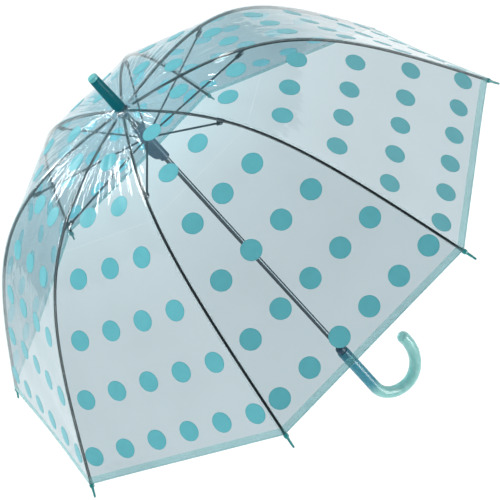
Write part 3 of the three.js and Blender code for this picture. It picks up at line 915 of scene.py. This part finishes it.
def make_gore(k):
    inner = film_sheet(f"film_inner_{k}", k, CROWN_LINE, BEND_LINE - BEND_GAP / 2, rows=56)
    outer = film_sheet(f"film_outer_{k}", k, BEND_LINE + BEND_GAP / 2, HEM_AT, rows=44)
    dots_inner = dots(f"dots_inner_{k}", k, range(1, INNER_ROWS + 1))
    dots_outer = dots(f"dots_outer_{k}", k, range(INNER_ROWS + 1, DOT_ROWS + 1))
    band = hem(f"hem_{k}", k)
    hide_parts(f"gore_inner_{k}")
    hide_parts(f"gore_outer_{k}")
    for piece, body in (
        (inner, f"gore_{k}"),
        (dots_inner, f"gore_{k}"),
        (outer, f"gore_skirt_{k}"),
        (dots_outer, f"gore_skirt_{k}"),
        (band, f"gore_skirt_{k}"),
    ):
        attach(piece, body)
        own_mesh(piece)


def make_seam(k):
    piece = seam(f"seam_{k}", k)
    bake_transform(piece)


# ---- ribs
def rib_azimuth(k):
    return (k - 1) * GORE_ANGLE + HALF_GORE


def in_rib_plane(k, flat):
    """(radius, height) in rib k's plane as a point."""
    a = rib_azimuth(k)
    return Vector((flat[0] * math.cos(a), flat[0] * math.sin(a), flat[1]))


def rib_axes(k, share):
    """Point of rib k at a share of its curve, with the directions along and across it there."""
    along = in_rib_plane(k, rib_along(share))
    across = Vector((-math.sin(rib_azimuth(k)), math.cos(rib_azimuth(k)), 0.0))
    return in_rib_plane(k, rib_point(share)), along, across


def make_rib(k):
    shares = np.concatenate([np.linspace(0.012, 0.1, 8), np.linspace(0.12, 0.995, 90)])
    path = [in_rib_plane(k, p) for p in rib_point(shares)]
    bar = tube(f"rib_{k}_look", path, RIB_RADIUS, RIB_STEEL, sides=14)
    hub_point, along, _ = rib_axes(k, 0.0)
    turns = np.linspace(0, 2 * math.pi, 25)
    ring = [hub_point + 0.0016 * (math.cos(a) * along + math.sin(a) * Vector(UPRIGHT)) for a in turns]
    eye = tube("eye", ring, 0.0006, RIB_STEEL, sides=8)
    whole = joined(f"rib_{k}_look", [bar, eye])
    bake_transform(whole)
    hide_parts(f"rib_inner_{k}", f"rib_outer_{k}")


def make_tip(k):
    """The moulded end of a rib: a collar that the film's corner hooks behind, and a thin pin."""
    collar = [(0.0, -0.0060), (0.0023, -0.0060), (0.0024, -0.0008), (0.0034, 0.0), (0.0034, 0.0036)]
    pin = [(0.0018, 0.0054), (0.0014, 0.0192), (0.0, 0.0200)]
    profile = rounded(collar + pin, 0.0009)
    piece = turned(f"tip_{k}", profile, TIP_TEAL, segments=28, smooth_angle=50)
    at, along, across = rib_axes(k, 1.0)
    stand_along_x(piece)
    place(piece, at, along, across)
    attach(piece, f"rib_end_{k}")
    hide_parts(f"rib_tip_{k}")


def make_clip(k):
    """The clip on rib k, with the lug and rivet that carry the stretcher."""
    corners = [(0.00165, -0.0055), (0.0025, -0.0055), (0.0026, 0.0), (0.0025, 0.0055), (0.00165, 0.0055)]
    sleeve_profile = rounded(corners, 0.0005)
    sleeve = turned("sleeve", sleeve_profile, STRETCHER_STEEL, segments=24)
    stand_along_x(sleeve)
    lug = plate("lug", [(z, -x) for x, z in tongue(LUG_DROP, 0.0018)], 0.0019, STRETCHER_STEEL)
    rivet_profile = rounded([(0.0, -0.0027), (0.0013, -0.0025), (0.0013, 0.0025), (0.0, 0.0027)], 0.0004)
    rivet = turned("rivet", rivet_profile, SPRING_STEEL, segments=18)
    for v in rivet.data.vertices:
        x, y, z = v.co
        v.co = (x, z, -LUG_DROP - y)
    piece = joined(f"clip_{k}", [sleeve, lug, rivet])
    at, along, across = rib_axes(k, CLIP_AT)
    place(piece, at, along, across)
    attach(piece, f"rib_{k}")


def make_stretcher(k):
    """A pressed steel channel from the runner to the rib, forked over the clip's lug."""
    outer = off_rib(CLIP_AT, -LUG_DROP)
    inner = np.array(STRETCHER_INNER) + (0.0, HUB)
    length = float(np.linalg.norm(outer - inner))
    fork = 0.011
    path = [(x, 0.0, 0.0) for x in np.linspace(0.0, length - fork + 0.003, 24)]
    bar = tube("bar", path, 0.00140, STRETCHER_STEEL, sides=10)
    cheeks = []
    for side in (-1, 1):
        cheek = plate("cheek", tongue(length, 0.0021, length - fork), 0.0008, STRETCHER_STEEL)
        for v in cheek.data.vertices:
            v.co.y += side * 0.0018
        cheeks.append(cheek)
    web = plate("web", tongue(length - fork + 0.0035, 0.0013, length - fork), 0.0036, STRETCHER_STEEL)
    piece = joined(f"stretcher_{k}_look", [bar, web, *cheeks])
    start, end = in_rib_plane(k, inner), in_rib_plane(k, outer)
    _, _, across = rib_axes(k, CLIP_AT)
    place(piece, start, end - start, across)
    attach(piece, f"stretcher_{k}")
    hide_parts(f"stretcher_{k}")


# ---- crown and ferrule
def above_hub(corners):
    """(radius, height over the rib pivots) corners as a profile."""
    return [(r, HUB + z) for r, z in corners]


def make_ferrule():
    foot = [(0.0, 0.0040), (0.0078, 0.0042), (0.0089, 0.0070), (0.0086, 0.0100)]
    sleeve = [*foot, (0.0073, 0.0620), (0.0, 0.0620)]
    cover = [(0.0, 0.0622), (0.0073, 0.0622), (0.0072, 0.0668), (0.0063, 0.0680), (0.0, 0.0680)]
    body = turned("ferrule_look", rounded(above_hub(sleeve), 0.0012), DARK_TEAL, segments=96)
    cap = turned("ferrule_cap_look", rounded(above_hub(cover), 0.0009), PALE_TEAL, segments=96)
    for piece, node, slot_name in (
        (body, "ferrule", "dark_teal_plastic"),
        (cap, "ferrule_cap", "pale_teal_plastic"),
    ):
        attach(piece, "shaft")
        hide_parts(node)


def make_washer():
    """The clear moulded washer that presses the film on to the crown."""
    disc = [(0.0045, 0.0040), (0.0150, 0.0040), (0.0144, 0.0054), (0.0088, 0.0064), (0.0045, 0.0064)]
    piece = turned("washer_look", rounded(above_hub(disc), 0.0006), CLEAR_PLASTIC, segments=72)
    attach(piece, "shaft")
    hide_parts("canopy_washer")


def make_rosette():
    """A small crumpled disc of clear film gathered round the ferrule's foot."""
    rows, columns = 18, 260
    rng = np.random.default_rng(5)
    folds = [(n, rng.uniform(0, 2 * math.pi), rng.uniform(0.5, 1.0)) for n in (6, 9, 14, 20, 29)]
    points, uvs = [], []
    for i in range(rows):
        u = i / (rows - 1)
        for j in range(columns):
            a = 2 * math.pi * j / columns
            fold = 0.0
            for n, turn, size in folds:
                fold += size * math.cos(n * a + turn + 2.4 * u * math.sin(3 * a + turn))
            radius = ROSETTE_HOLE + (ROSETTE_RADIUS - ROSETTE_HOLE) * u
            radius += ROSETTE_WAVER * u * math.cos(9 * a + 1.0)
            height = ROSETTE_HEIGHT - ROSETTE_DROOP * u + ROSETTE_FOLD * fold * (0.25 + 0.75 * u) / 1.6
            points.append((radius * math.cos(a), radius * math.sin(a), height))
            uvs.append((8 * a / math.pi, 0.02 + 0.02 * u))
    piece = mesh_object("crown_gather", points, grid_faces(rows, columns, closed=True), CRINKLED, uvs)
    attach(piece, "shaft")


# ---- shaft, runner and springs
def make_shaft():
    """The CAD nodes that carry over, with better materials and eased edges."""
    for name, material, width in (
        ("shaft_tube", SHAFT_STEEL, 0.0),
        ("runner_stop", SHAFT_STEEL, 0.0004),
        ("crown", SLATE, 0.0003),
        ("crown_wire", SPRING_STEEL, 0.0),
        ("top_spring", SPRING_STEEL, 0.0002),
        ("bottom_spring", SPRING_STEEL, 0.0002),
    ):
        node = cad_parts[name]
        node.data.materials.clear()
        node.data.materials.append(material)
        if width:
            bevel(node, width)
        if name in ("shaft_tube", "crown_wire", "runner_stop"):
            node.data.polygons.foreach_set("use_smooth", [True] * len(node.data.polygons))
            soften(node, 35)


def make_runner():
    """The runner: a ring, a long sleeve and a thumb piece, moulded in one."""
    profile = rounded(
        [
            (RUNNER_BORE, RUNNER_BOTTOM),
            (RUNNER_RADIUS, RUNNER_BOTTOM),
            (RUNNER_RADIUS, RING_BOTTOM),
            (RING_RADIUS, RING_BOTTOM + 0.0015),
            (RING_RADIUS, RING_TOP - 0.0015),
            (RUNNER_RADIUS, RING_TOP),
            (0.0072, RUNNER_TOP - 0.0075),
            (0.0084, RUNNER_TOP - 0.0060),
            (0.0084, RUNNER_TOP),
            (RUNNER_BORE, RUNNER_TOP),
        ],
        0.0007,
    )
    body = turned("runner_look", profile, SLATE, segments=96)
    thumb = bpy.data.meshes.new("thumb")
    work = bmesh.new()
    bmesh.ops.create_uvsphere(work, u_segments=40, v_segments=28, radius=1.0)
    work.to_mesh(thumb)
    work.free()
    for v in thumb.vertices:
        pinch = 1 - 0.25 * v.co.z**2
        x = v.co.x * THUMB_SIZE[0] + THUMB_CENTRE[0]
        z = v.co.z * THUMB_SIZE[2] + THUMB_CENTRE[1]
        v.co = (x, v.co.y * THUMB_SIZE[1] * pinch, z)
    thumb.materials.append(SLATE)
    whole = joined("runner_look", [body, in_scene("thumb", thumb)])
    remesh = whole.modifiers.new("one", "REMESH")
    remesh.mode = "VOXEL"
    remesh.voxel_size = 0.00035
    remesh.use_smooth_shade = True
    smooth = whole.modifiers.new("soft", "SMOOTH")
    smooth.iterations = 4
    smooth.factor = 0.5
    apply_modifiers(whole)
    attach(whole, "runner")
    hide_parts("runner")


# ---- handle
def crook_path():
    """Centreline of the handle, from the top of the grip to the crook's end."""
    points = [(0.0, z) for z in np.linspace(GRIP_TOP, CROOK_START, 24, endpoint=False)]
    for a in np.linspace(0, math.pi / 2, 24, endpoint=False):
        points.append((CROOK_NEAR * (1 - math.cos(a)), CROOK_START - CROOK_NEAR * math.sin(a)))
    far_centre = CROOK_START - CROOK_NEAR + CROOK_FAR[1]
    for a in np.linspace(0, math.pi / 2 + CROOK_PAST_SIDE, 32):
        points.append((CROOK_NEAR + CROOK_FAR[0] * math.sin(a), far_centre - CROOK_FAR[1] * math.cos(a)))
    return np.array([(x, 0.0, z) for x, z in points])


def make_handle():
    path = crook_path()
    end = path[-1]
    along = path[-1] - path[-2]
    along /= np.linalg.norm(along)
    dome = np.linspace(0, math.pi / 2, 10)[1:]
    path = np.concatenate([path, [end + along * GRIP_RADIUS * math.sin(a) for a in dome]])
    radii = np.full(len(path), GRIP_RADIUS)
    radii[-len(dome):] = GRIP_RADIUS * np.maximum(np.cos(dome), 0.02)
    radii[0] = GRIP_RADIUS - 0.0006
    piece = tube("handle_look", path, radii, HANDLE, sides=40)
    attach(piece, "shaft")
    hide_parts("handle")
    foot, top = GRIP_TOP - 0.0005, COLLAR_TOP
    ring = [(0.0043, foot), (0.0078, foot), (0.0078, top - 0.003), (0.0066, top), (0.0043, top)]
    collar = turned("collar_look", rounded(ring, 0.0010), SLATE, segments=80)
    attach(collar, "shaft")
    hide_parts("handle_collar")


# ---- stage
def make_floor():
    low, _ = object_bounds()
    half = FLOOR_SIZE / 2
    z = low.z - FLOOR_DROP
    points = [(-half, -half, z), (half, -half, z), (half, half, z), (-half, half, z)]
    material, g = new_material("floor_white")
    speckle = g.noise(g.coords(), 3.0, 2.0)
    body = g.node(
        "ShaderNodeBsdfPrincipled",
        Base_Color=g.mix_colour(speckle, (0.90, 0.90, 0.90, 1.0), (0.92, 0.92, 0.92, 1.0)),
        Roughness=0.9,
        Emission_Color=WHITE,
        Emission_Strength=FLOOR_GLOW,
    )
    g.finish(body.outputs[0])
    floor = mesh_object("floor", points, [(0, 1, 2, 3)], material)


def area_light(name, direction, distance, size, power, long_way=UPRIGHT, mirrored=True, lights=True):
    """A soft light in a direction from the umbrella's middle, with its longer side along `long_way`.

    One that isn't mirrored doesn't show in glossy surfaces; one that doesn't light shows only in them.
    """
    data = bpy.data.lights.new(name, "AREA")
    data.shape = "RECTANGLE"
    data.size, data.size_y = size
    data.energy = power
    light = in_scene(name, data)
    back = Vector(direction).normalized()
    side = Vector(long_way).cross(back).normalized()
    up = back.cross(side)
    light.rotation_mode = "QUATERNION"
    light.rotation_quaternion = Matrix((side, up, back)).transposed().to_quaternion()
    light.location = Vector(LIGHTS_AIM) + back * distance
    light.visible_glossy = mirrored
    light.visible_diffuse = lights
    light.visible_transmission = lights
    light.visible_camera = False


def make_key():
    data = bpy.data.lights.new("key", "SUN")
    data.energy = KEY_POWER
    data.angle = KEY_SPREAD
    light = in_scene("key", data)
    light.visible_glossy = False
    light.rotation_mode = "QUATERNION"
    light.rotation_quaternion = Vector(KEY_FROM).to_track_quat("Z", "Y")


def make_surroundings():
    """A white studio that is bright behind and above the umbrella and dim in front of it."""
    world = bpy.data.worlds.new("studio")
    world.use_nodes = True
    background = world.node_tree.nodes["Background"]
    g = Graph(world.node_tree)
    direction = g.node("ShaderNodeSeparateXYZ", Vector=g.coords("Generated"))
    depth = g.plus(direction.outputs[1], g.times(direction.outputs[2], 0.35))
    g.set(background, "Color", WHITE)
    g.set(background, "Strength", g.remap(depth, -0.75, 0.95, WORLD_DIM, WORLD_BRIGHT))
    bpy.context.scene.world = world


def make_lights():
    make_surroundings()
    make_key()
    area_light("front_fill", (-0.3, -0.9, 0.6), 3.6, (2.0, 2.0), 30.0, mirrored=False)
    for name, direction, distance, size, power, long_way in REFLECTED:
        area_light(name, direction, distance, size, power, long_way, lights=False)
    bpy.context.scene.view_settings.view_transform = "Standard"


def make_camera():
    data = bpy.data.cameras.new("camera")
    data.lens = LENS
    data.clip_start = 0.05
    data.clip_end = 100.0
    camera = in_scene("camera", data)
    back = Vector(
        (
            math.sin(CAMERA_AZIMUTH) * math.cos(CAMERA_ELEVATION),
            -math.cos(CAMERA_AZIMUTH) * math.cos(CAMERA_ELEVATION),
            math.sin(CAMERA_ELEVATION),
        )
    )
    camera.location = CAMERA_AIM + back * CAMERA_DISTANCE
    camera.rotation_mode = "QUATERNION"
    camera.rotation_quaternion = (-back).to_track_quat("-Z", "Y") @ Quaternion((0, 0, 1), -CAMERA_ROLL)
    bpy.context.scene.camera = camera


make_camera()
make_lights()
make_ferrule()
make_washer()
make_rosette()
make_shaft()
make_runner()
make_handle()
for number in range(1, GORES + 1):
    make_rib(number)
    make_tip(number)
    make_clip(number)
    make_stretcher(number)
for number in range(1, GORES + 1):
    make_gore(number)
    make_seam(number)
make_floor()
